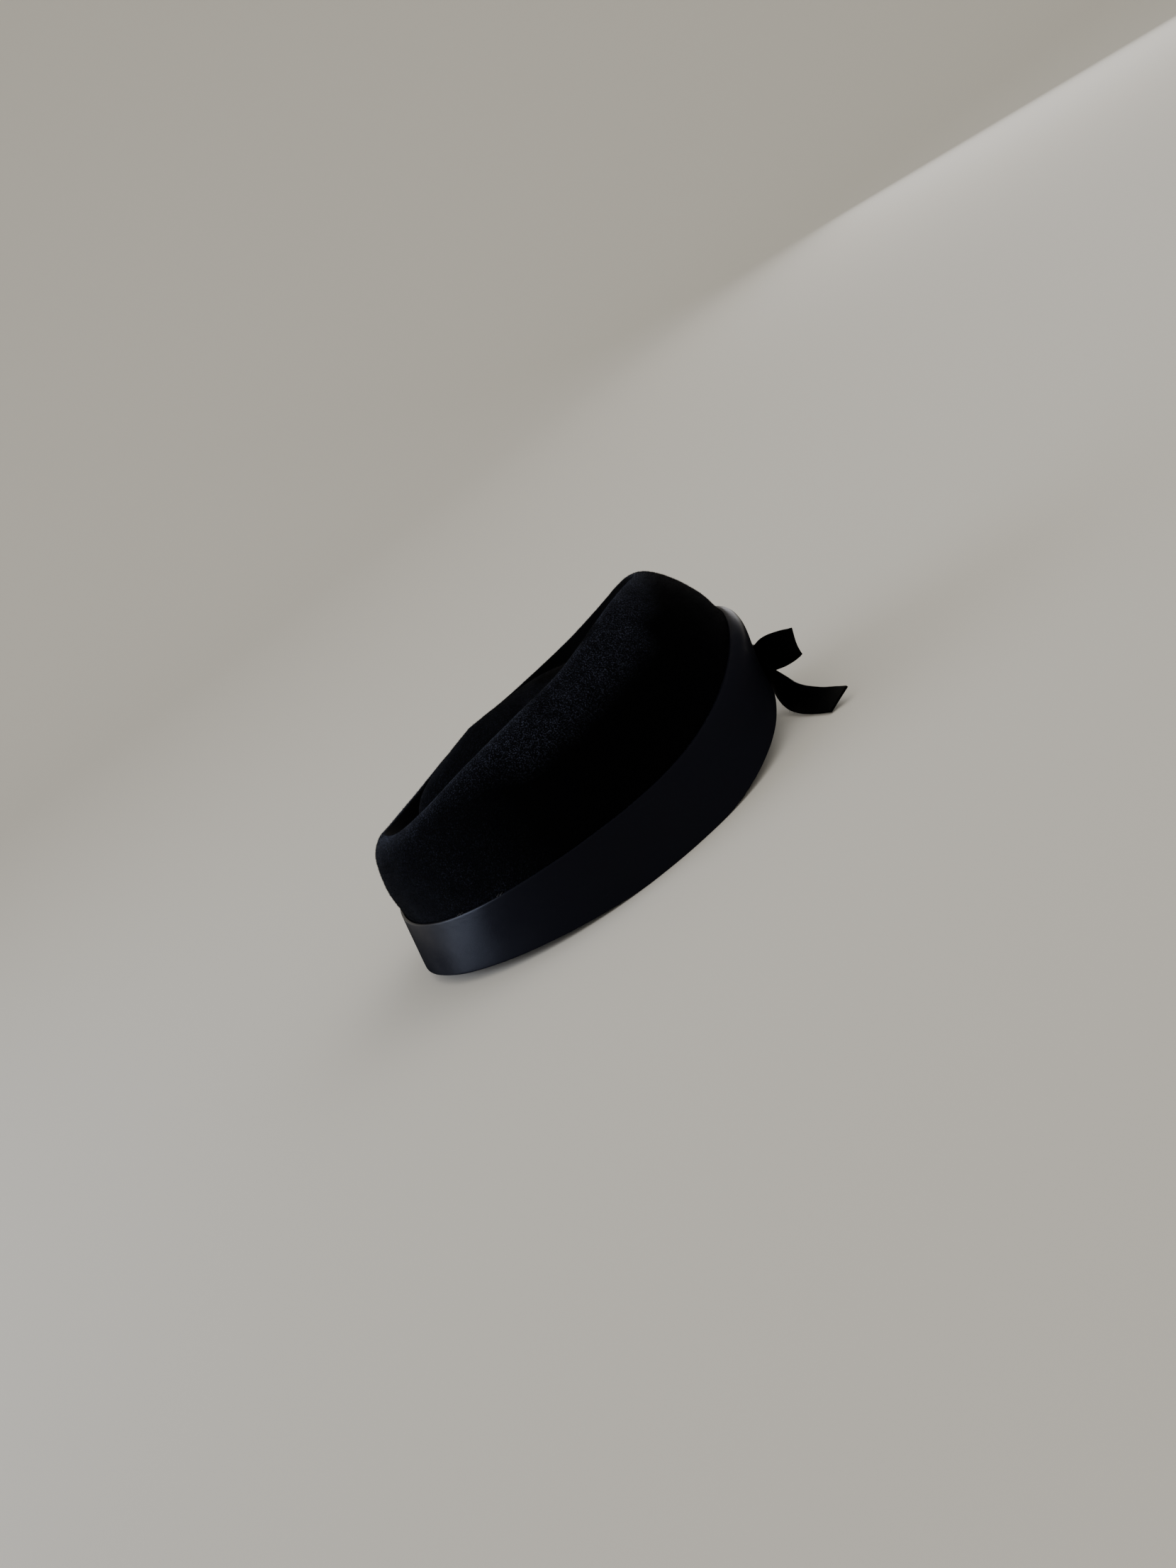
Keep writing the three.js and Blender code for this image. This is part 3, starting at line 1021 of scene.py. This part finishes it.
@dataclass
class Strap:
    """A flat strap of the bow, extruded from a plane along its path."""

    name: str
    rows: tuple[StrapRow, ...]
    reach: float
    side: Side
    slant: float = 0.0
    folded: bool = False
    width: float = 13.5 * MM
    thickness: float = 1.3 * MM
    stations: int = 26
    knot_side: float = 5.85 * MM
    knot_middle: float = 110.82 * MM
    height: float = 6.0 * MM
    gather: float = 0.25
    look_aside: float = 0.01
    edge_round: float = 0.22 * MM
    edge_segments: int = 2
    swell_size: float = 6 * MM
    swell_height: float = 0.25 * MM
    end_reach: float = 0.1 * MM
    torn: tuple[float, float] = (0.42, 0.6)
    torn_fibres: int = 22
    torn_length: tuple[float, float] = (0.8 * MM, 2.2 * MM)
    torn_half_width: tuple[float, float] = (0.05 * MM, 0.11 * MM)
    torn_inset: float = 0.4 * MM
    torn_depth: float = 0.4 * MM
    torn_stray: float = 0.5 * MM
    torn_floor: float = 0.3 * MM

    def station(self, share: float) -> tuple[Vector, Matrix]:
        """Gives the strap's middle and its directions at a share of its path.

        Args:
            share: How far along the path, from 0 to 1.

        Returns:
            The middle, and a matrix whose columns are the thickness, the width and the path's direction.
        """
        places = [
            Vector((
                self.side.value * (self.knot_side + row.out * (self.reach - self.knot_side)),
                -self.knot_middle - row.forward * self.reach,
                self.height + row.up * self.reach,
            ))
            for row in self.rows
        ]
        leans = [Vector((0.0, -row.lean, 1.0)) for row in self.rows]
        middle = smooth_place(places, share)
        low, high = max(share - self.look_aside, 0.0), min(share + self.look_aside, 1.0)
        along = (smooth_place(places, high) - smooth_place(places, low)).normalized()
        from_knot = min(share, 1.0 - share) if self.folded else share
        squareness = min(from_knot / self.gather, 1.0)
        width = smooth_place(leans, share)
        width = (width - along * width.dot(along) * squareness).normalized()
        thick = width.cross(along).normalized()
        turn = HAT_TO_ROOM.to_3x3()
        directions = Matrix((turn @ thick, turn @ width, turn @ thick.cross(width))).transposed()
        return HAT_TO_ROOM @ middle, directions

    def build(self) -> bpy.types.Object:
        """Extrudes the strap station by station, turns each end face on the way and rounds its edges.

        Returns:
            The strap's object.
        """
        place, directions = self.station(0.0)
        bpy.ops.object.select_all(action="DESELECT")
        bpy.ops.mesh.primitive_plane_add(size=1.0, location=place, rotation=directions.to_euler())
        piece = bpy.context.object
        piece.name = self.name
        piece.scale = (self.thickness, self.width, 1.0)
        settle(piece)
        bpy.ops.object.mode_set(mode="EDIT")
        bpy.ops.mesh.select_all(action="SELECT")
        for number in range(1, self.stations + 1):
            next_place, next_directions = self.station(number / self.stations)
            bpy.ops.mesh.extrude_region_move(TRANSFORM_OT_translate={"value": next_place - place})
            self.turn_face(next_directions @ directions.transposed(), next_place)
            place, directions = next_place, next_directions
        bpy.ops.mesh.select_all(action="SELECT")
        bpy.ops.mesh.normals_make_consistent(inside=False)
        bpy.ops.object.mode_set(mode="OBJECT")
        self.cut_slanting(piece, place, directions)
        round_edges(piece, self.edge_round, self.edge_segments)
        soften(piece, self.swell_size, self.swell_height)
        return piece

    def frays(self, seed: int) -> bpy.types.Object:
        """Lets a few torn fibres stand out of the strap's lower edge.

        Args:
            seed: Seed of their random lengths and places.

        Returns:
            One object with all the fibres.
        """
        rng = np.random.default_rng(seed)
        corners = []
        for share in rng.uniform(*self.torn, self.torn_fibres):
            middle, directions = self.station(share)
            thick, across, along = directions.col[0], directions.col[1], directions.col[2]
            root = middle - across * (self.width / 2 - self.torn_inset)
            root += thick * rng.uniform(-self.torn_depth, self.torn_depth)
            tip = root - across * rng.uniform(*self.torn_length) + along * rng.normal(0.0, self.torn_stray)
            tip.z = max(tip.z, self.torn_floor)
            half = along * rng.uniform(*self.torn_half_width)
            corners.append([tuple(corner) for corner in (root - half, root + half, tip)])
        return triangles_object(self.name + "_frays", np.array(corners))

    def turn_face(self, turn: Matrix, centre: Vector) -> None:
        """Turns the selected end face about its middle.

        Args:
            turn: The rotation from the last station's directions to the next one's.
            centre: The face's middle.
        """
        axis, angle = turn.to_quaternion().to_axis_angle()
        if abs(angle) < 1e-6:
            return
        across = axis.orthogonal().normalized()
        basis = Matrix((across, axis.cross(across), axis)).transposed()
        bpy.ops.transform.rotate(
            value=angle,
            orient_axis="Z",
            orient_type="GLOBAL",
            orient_matrix=basis,
            orient_matrix_type="GLOBAL",
            constraint_axis=(False, False, True),
            center_override=centre,
        )

    def cut_slanting(self, piece: bpy.types.Object, end: Vector, directions: Matrix) -> None:
        """Draws the end face's upper edge out and its lower edge in, as a slanting cut.

        Args:
            piece: The strap's object.
            end: The end face's middle.
            directions: The end's thickness, width and path directions.
        """
        if not self.slant:
            return
        across, along = directions.col[1], directions.col[2]
        offsets = mesh_points(piece.data) - np.array(end)
        at_end = np.abs(offsets @ np.array(along)) < self.end_reach
        height = offsets @ np.array(across)
        for part in (1, -1):
            move_vertices(piece, at_end & (height * part > 0), along * (part * self.slant / 2))


@dataclass(frozen=True)
class KnotStrip:
    """An upright strip of the knot's front face: its place across, half its width and how far it moves in."""

    across: float
    reach: float
    inwards: float


KNOT_STRIPS = (
    KnotStrip(0.0, 2.4 * MM, -0.7 * MM),
    KnotStrip(-2.1 * MM, 0.9 * MM, 0.75 * MM),
    KnotStrip(2.4 * MM, 0.9 * MM, 0.75 * MM),
)


@dataclass
class Bow:
    """The flat bow: a wrapped knot, two folded loops and two cut tails."""

    loop_reach: float = 27 * MM
    tail_reach: float = 66 * MM
    tail_slant: float = 3.5 * MM
    knot_width: float = 11 * MM
    knot_depth: float = 6.8 * MM
    knot_height: float = 13.5 * MM
    knot_lean: float = math.radians(8.0)
    knot_cuts: int = 5
    knot_face: float = 2.4 * MM
    edge_round: float = 0.9 * MM
    edge_segments: int = 3
    swell_size: float = 5 * MM
    swell_height: float = 0.3 * MM
    fray_seed: int = 11

    def knot(self) -> bpy.types.Object:
        """Shapes the knot from a cube: cut in slices, swollen in the middle and pressed in by two folds.

        Returns:
            The knot's object.
        """
        low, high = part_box("bow_knot")
        middle = (low + high) / 2
        bpy.ops.object.select_all(action="DESELECT")
        bpy.ops.mesh.primitive_cube_add(size=1.0, location=middle)
        piece = bpy.context.object
        piece.name = "knot_wrap"
        piece.scale = (self.knot_width, self.knot_depth, self.knot_height)
        piece.rotation_euler = (self.knot_lean - REST_TIP, 0.0, 0.0)
        settle(piece)
        bpy.ops.object.mode_set(mode="EDIT")
        bpy.ops.mesh.select_all(action="SELECT")
        bpy.ops.mesh.subdivide(number_cuts=self.knot_cuts)
        bpy.ops.object.mode_set(mode="OBJECT")
        for strip in KNOT_STRIPS:
            points = mesh_points(piece.data)
            chosen = np.abs(points[:, 0] - middle.x - strip.across) < strip.reach
            chosen &= points[:, 1] < points[:, 1].min() + self.knot_face
            move_vertices(piece, chosen, Vector((0.0, strip.inwards, 0.0)))
        round_edges(piece, self.edge_round, self.edge_segments)
        soften(piece, self.swell_size, self.swell_height)
        return piece

    def build(self) -> list[bpy.types.Object]:
        """Builds and dresses the bow.

        Returns:
            Its pieces.
        """
        leather = STRAP_LEATHER.material()
        pieces = [self.knot()]
        finish_piece(pieces[0], leather, ("bow_knot",))
        for side in Side:
            word = side.name.lower()
            loop = Strap(f"loop_{word}", LOOP_ROWS, self.loop_reach, side, folded=True).build()
            finish_piece(loop, leather, (f"bow_loop_{word}",))
            tail_strap = Strap(f"tail_{word}", TAIL_ROWS, self.tail_reach, side, self.tail_slant)
            tail = tail_strap.build()
            finish_piece(tail, leather, (f"bow_tail_{word}",))
            frays = tail_strap.frays(self.fray_seed)
            finish_piece(frays, leather, (f"bow_tail_{word}",))
            pieces += [loop, tail, frays]
        return pieces


@dataclass(frozen=True)
class Softbox:
    """A soft square light: its place and side in metres, its power in watts and its colour."""

    kind: StageLight
    place: Triple
    size: float
    power: float
    tint: Triple


SOFTBOXES = (
    Softbox(StageLight.OVERHEAD, (0.05, -0.85, 0.95), 0.9, 3.0, (0.93, 0.95, 1.0)),
    Softbox(StageLight.BEHIND, (0.34, 1.23, 0.36), 0.9, 12.0, (0.74, 0.82, 1.0)),
    Softbox(StageLight.FRONT, (0.95, -1.1, 0.32), 0.6, 2.0, (0.97, 0.96, 1.0)),
)


@dataclass
class Studio:
    """Floor, backdrop, lights and the camera."""

    turn: float = math.radians(16.36)
    rise: float = math.radians(16.46)
    roll: float = math.radians(-38.85)
    distance: float = 1.2
    lens: float = 78.38
    sensor: float = 36.0
    aim_right: float = -4.72 * MM
    aim_up: float = 17.4 * MM
    paper: Triple = (0.56, 0.545, 0.5)
    paper_shade: float = 0.985
    air: Triple = (0.84, 0.8, 0.735)
    air_strength: float = 1.09
    floor_half: float = 4.0
    mirrored_from: float = 0.2
    backdrop_from: float = 1.3
    curve_steps: int = 12
    curve_step: float = 0.12
    backdrop_height: float = 2.2
    light_aim: Triple = (0.0, 0.0, 0.05)

    def camera(self) -> bpy.types.Object:
        """Places the camera behind the wearer's right side, rolled as the photo shows the hat.

        Returns:
            The camera's object.
        """
        flat = math.cos(self.rise)
        towards = Vector((-math.cos(self.turn) * flat, math.sin(self.turn) * flat, math.sin(self.rise)))
        level = Vector((-math.sin(self.turn), -math.cos(self.turn), 0.0))
        above = towards.cross(level)
        right = level * math.cos(self.roll) + above * math.sin(self.roll)
        up = above * math.cos(self.roll) - level * math.sin(self.roll)
        place = HAT_TO_ROOM @ (towards * self.distance)
        aim = HAT_TO_ROOM @ (right * self.aim_right + up * self.aim_up)
        back = (place - aim).normalized()
        turned_up = HAT_TO_ROOM.to_3x3() @ up
        across = turned_up.cross(back).normalized()
        basis = Matrix((across, back.cross(across), back)).transposed()
        data = bpy.data.cameras.new("camera")
        data.sensor_fit = "HORIZONTAL"
        data.sensor_width = self.sensor
        data.lens = self.lens
        data.clip_start = 0.01
        piece = bpy.data.objects.new("camera", data)
        bpy.context.scene.collection.objects.link(piece)
        piece.matrix_world = Matrix.Translation(place) @ basis.to_4x4()
        bpy.context.scene.camera = piece
        return piece

    def paper_sheet(self, name: str, low: Vector, high: Vector, rises: bool) -> bpy.types.Object:
        """Lays a plain sheet of floor, and lets its far edge curve up to a backdrop where asked.

        Args:
            name: The sheet's name.
            low: Its lowest corner.
            high: Its highest corner.
            rises: Whether its far edge curves up.

        Returns:
            The sheet's object.
        """
        bpy.ops.object.select_all(action="DESELECT")
        bpy.ops.mesh.primitive_plane_add(size=1.0, location=(low + high) / 2)
        piece = bpy.context.object
        piece.name = name
        piece.scale = (high.x - low.x, high.y - low.y, 1.0)
        settle(piece)
        if rises:
            select_vertices(piece.data, mesh_points(piece.data)[:, 0] > high.x - MM)
            bpy.ops.object.mode_set(mode="EDIT")
            bpy.ops.mesh.select_mode(type="EDGE")
            for step in range(self.curve_steps):
                slope = math.radians(90.0 * (step + 0.5) / self.curve_steps)
                move = Vector((math.cos(slope), 0.0, math.sin(slope))) * self.curve_step
                bpy.ops.mesh.extrude_region_move(TRANSFORM_OT_translate={"value": move})
            up = (0.0, 0.0, self.backdrop_height)
            bpy.ops.mesh.extrude_region_move(TRANSFORM_OT_translate={"value": up})
            bpy.ops.object.mode_set(mode="OBJECT")
            work_on(piece)
            bpy.ops.object.shade_smooth()
        return piece

    def paper_material(self) -> bpy.types.Material:
        """Builds the matt paper of floor and backdrop.

        Returns:
            The paper's material.
        """
        wiring = Wiring("paper")
        tooth = wiring.noise(scale=700.0, detail=2.0, roughness=0.5)
        shaded = tuple(self.paper_shade * part for part in self.paper)
        wiring.feed(wiring.blend(tooth, self.paper, shaded), "Base Color")
        wiring.set(Roughness=0.95, Specular_IOR_Level=0.1)
        return wiring.material

    def floor(self) -> list[bpy.types.Object]:
        """Lays the floor in two sheets with one look; only the far one is mirrored in the leather.

        Returns:
            The sheets' objects.
        """
        material = self.paper_material()
        half, split = self.floor_half, self.mirrored_from
        near = self.paper_sheet("floor_near", Vector((-half, -half, 0.0)), Vector((split, half, 0.0)), False)
        far_corner = Vector((self.backdrop_from, half, 0.0))
        far = self.paper_sheet("floor_far", Vector((split, -half, 0.0)), far_corner, True)
        near.visible_glossy = False
        for sheet in (near, far):
            sheet.data.materials.append(material)
        return [near, far]

    def light(self, softbox: Softbox) -> bpy.types.Object:
        """Hangs a softbox that shines at the hat; the one overhead isn't mirrored in the leather.

        Args:
            softbox: The light's place, size, power and colour.

        Returns:
            The light's object.
        """
        name = softbox.kind.value
        data = bpy.data.lights.new(name, "AREA")
        data.shape = "SQUARE"
        data.size = softbox.size
        data.energy = softbox.power
        data.color = softbox.tint
        piece = bpy.data.objects.new(name, data)
        bpy.context.scene.collection.objects.link(piece)
        place = Vector(softbox.place)
        turn = (place - Vector(self.light_aim)).to_track_quat("Z", "Y")
        piece.matrix_world = Matrix.Translation(place) @ turn.to_matrix().to_4x4()
        piece.visible_glossy = softbox.kind is not StageLight.OVERHEAD
        return piece

    def world(self) -> None:
        """Fills the room with pale air that lights the hat but isn't mirrored in it."""
        world = bpy.data.worlds.new("air")
        world.use_nodes = True
        background = world.node_tree.nodes["Background"]
        background.inputs["Color"].default_value = (*self.air, 1.0)
        background.inputs["Strength"].default_value = self.air_strength
        bpy.context.scene.world = world
        world.cycles_visibility.glossy = False

    def build(self) -> list[bpy.types.Object]:
        """Sets up the whole studio.

        Returns:
            Its objects.
        """
        pieces = [self.camera(), *self.floor(), *(self.light(softbox) for softbox in SOFTBOXES)]
        self.world()
        return pieces


def main() -> None:
    """Builds the studio and the hat's parts in order and reports each piece."""
    logging.basicConfig(level=logging.INFO, format="%(name)s: %(message)s")
    for part in (Studio(), Crown(), Band(), Bow()):
        for piece in part.build():
            faces = len(piece.data.polygons) if piece.type == "MESH" else 0
            LOG.info("%s: %s, %d faces", type(part).__name__, piece.name, faces)


if __name__ == "__main__":
    main()
